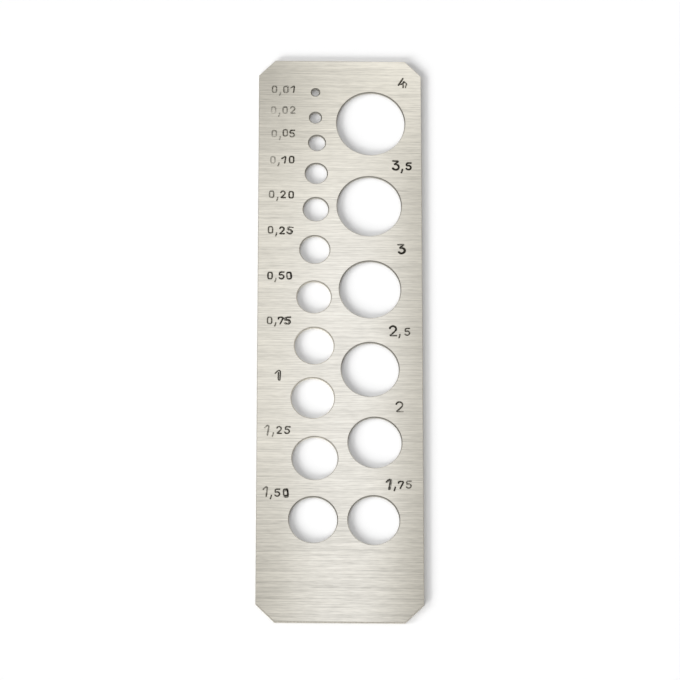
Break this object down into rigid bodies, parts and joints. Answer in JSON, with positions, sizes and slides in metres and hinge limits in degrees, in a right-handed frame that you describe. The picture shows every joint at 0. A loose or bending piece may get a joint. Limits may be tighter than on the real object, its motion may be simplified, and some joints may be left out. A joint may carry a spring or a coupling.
{
  "type": "gemstone size gauge",
  "caption": "Flat sheet-metal plate with cut corners and two rows of graded round holes for sizing round stones, with a stamped carat scale.",
  "frame": {"origin": "centre of the plate's back, on the surface that it lies on", "axes": "+X towards the row of large holes, +Y towards the head, where both rows start, +Z out of the stamped face"},
  "size_m": [0.025, 0.091, 0.0006],
  "materials": {
    "plate_metal": "nickel silver, brushed across the width"
  },
  "bodies": {
    "root": {"gauge_plate": "plate_metal"}
  },
  "joints": []
}
